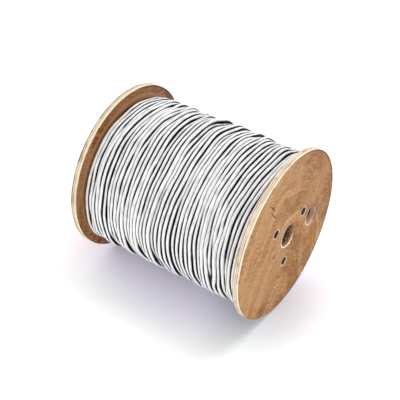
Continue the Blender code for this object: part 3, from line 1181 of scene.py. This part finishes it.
def makeEndTurns(sideName, side):  # the turns that lie against a flange, layer by layer
    lowest = barrelRadius + cableRadius + cable["clearance"]
    rise = (underLayerRadius - lowest) / cable["endLayers"]
    samples, sides = cable["underSamples"], cable["underSides"]
    angle = fullTurn * np.arange(samples) / samples
    bm = bmesh.new()
    for layer in range(cable["endLayers"]):
        sway = field(40 + layer, 4, (0.1, 0.2), (1, 5))(np.zeros(samples), angle)
        inset = cableRadius + cable["endInset"][layer % 2] * turnPitch
        x = side * (windHalf - inset - cable["endSway"] * np.abs(sway))
        r = np.full(samples, lowest + layer * rise) + 0.0002 * sway
        # painted shade: the end turns are coloured black to dark grey
        seen = np.tile(0.45 * np.abs(np.sin(fullTurn * np.arange(sides) / sides)), (samples, 1))
        ring = flipIfInside(tubeMesh("ring", x, r, angle, sides, seen, closed=True))
        bm.from_mesh(ring)
        bpy.data.meshes.remove(ring)
    mesh = bpy.data.meshes.new(f"cable_end_turns_{sideName}")
    bm.to_mesh(mesh)
    bm.free()
    mesh.shade_smooth()
    newCable(mesh)


def makeBuriedTurns():  # the turns that nothing shows, as one turned body
    inner, outer = barrelRadius + cable["clearance"], underLayerRadius - cableRadius * 0.9
    half = windHalf - cable["diameter"] * 0.9
    rows = cable["turns"]
    profile = [(inner, half), (outer, half)]
    profile += [(outer - 0.0006 * (row % 2), half - 2 * half * row / rows) for row in range(1, rows)]
    profile += [(outer, -half), (inner, -half), (inner, half)]
    bm = bmesh.new()
    loft(bm, [loop(bm, (0, 0), x, radius, cable["buriedPoints"]) for radius, x in profile])
    bmesh.ops.remove_doubles(bm, verts=bm.verts, dist=1e-6)
    mesh = meshFrom(bm, "cable_buried_turns")
    # painted shade: the buried body is coloured near black
    keepOpenness(mesh, np.full(len(mesh.vertices), 0.2))
    newCable(mesh)


makeTopTurns()
makeUnderTurns()
makeEndTurns("near", 1)
makeEndTurns("far", -1)
makeBuriedTurns()
print("winding made")


def dressNode(node, material):
    materials = frame["nodes"][node].data.materials
    materials.clear()
    materials.append(material)


dressNode("barrel", barrelBoard)
dressNode("hub_ring_near", hubBoard)
dressNode("hub_ring_far", hubBoard)
print("barrel and hub rings dressed")


# Floor, light and camera

stage = {
    "floorSize": 30.0,
    "floorDrop": 0.0002,
    "floorColour": (0.99, 0.99, 0.99),
    "floorUnderDrum": (0.860, 0.828, 0.960),
    "underReach": (0.09, 0.20),
    "floorByFlange": (0.76, 0.81, 0.78),
    "flangeFoot": (0.165, -0.06),
    "footReach": (0.015, 0.115),
    "squash": math.sqrt(0.4),  # the shading's width across, as a share of its length
    "skyColour": (0.990, 0.985, 1.0),
    "skyAtHorizon": 1.62,
    "skyOverhead": 0.86,
    "sunFrom": (0.24, 0.40, 1.0),
    "sunStrength": 0.90,
    "sunColour": (1.0, 0.99, 0.96),
    "sunAngle": 24,
}


def floorFinish():
    finish = Finish("floor_paper", roughness=0.9)
    x, y, z = finish.place()
    footX, footY = stage["flangeFoot"]
    # painted shadow: the floor is tinted lavender grey under the drum
    under = finish.step(distance(x * stage["squash"], y), *stage["underReach"])
    colour = finish.blend(under, stage["floorUnderDrum"], stage["floorColour"])
    # softer shadow round the near flange's foot
    foot = distance(x - footX, (y - footY) * stage["squash"])
    beside = finish.step(foot, *stage["footReach"], 1.0, 0.0)
    finish.feed("Base Color", finish.blend(beside, colour, stage["floorByFlange"], "MULTIPLY"))
    return finish.material


def makeFloor():
    bm = bmesh.new()
    bmesh.ops.create_grid(bm, x_segments=4, y_segments=4, size=stage["floorSize"] / 2)
    mesh = bpy.data.meshes.new("floor")
    bm.to_mesh(mesh)
    bm.free()
    mesh.materials.append(floorFinish())
    floor = bpy.data.objects.new("floor", mesh)
    floor.location.z = cadBox[0][2] - stage["floorDrop"]
    bpy.context.scene.collection.objects.link(floor)


def makeLight():
    world = bpy.data.worlds.new("studio")
    bpy.context.scene.world = world
    world.use_nodes = True
    sky = Nodes(world.node_tree)
    background = sky.tree.nodes["Background"].inputs
    x, y, z = sky.split("Generated")
    values = {"Value": z, "To Min": stage["skyAtHorizon"], "To Max": stage["skyOverhead"]}
    sky.plug(background["Strength"], sky.add("ShaderNodeMapRange", values=values))
    sky.plug(background["Color"], stage["skyColour"])
    lamp = bpy.data.lights.new("window_light", "SUN")
    lamp.energy = stage["sunStrength"]
    lamp.angle = math.radians(stage["sunAngle"])
    lamp.color = stage["sunColour"]
    sun = bpy.data.objects.new("window_light", lamp)
    sun.rotation_euler = Vector(stage["sunFrom"]).to_track_quat("Z", "Y").to_euler()
    bpy.context.scene.collection.objects.link(sun)


view = {
    "azimuth": math.radians(34.343),
    "elevation": math.radians(40.783),
    "place": (0.71811, -1.061745, 1.1016),
    "lens": 89.32,
    "sensor": 36.0,
}


def makeCamera():
    azimuth, elevation = view["azimuth"], view["elevation"]
    level = math.cos(elevation)
    back = Vector((math.sin(azimuth) * level, -math.cos(azimuth) * level, math.sin(elevation)))
    right = Vector((0, 0, 1)).cross(back).normalized()
    up = back.cross(right)
    lens = bpy.data.cameras.new("camera")
    lens.sensor_width = view["sensor"]
    lens.lens = view["lens"]
    camera = bpy.data.objects.new("camera", lens)
    turn = Matrix((right, up, back)).transposed().to_4x4()
    camera.matrix_world = Matrix.Translation(Vector(view["place"])) @ turn
    bpy.context.scene.collection.objects.link(camera)
    bpy.context.scene.camera = camera


makeFloor()
makeLight()
makeCamera()
bpy.context.scene.view_settings.view_transform = "Standard"
print("stage set")
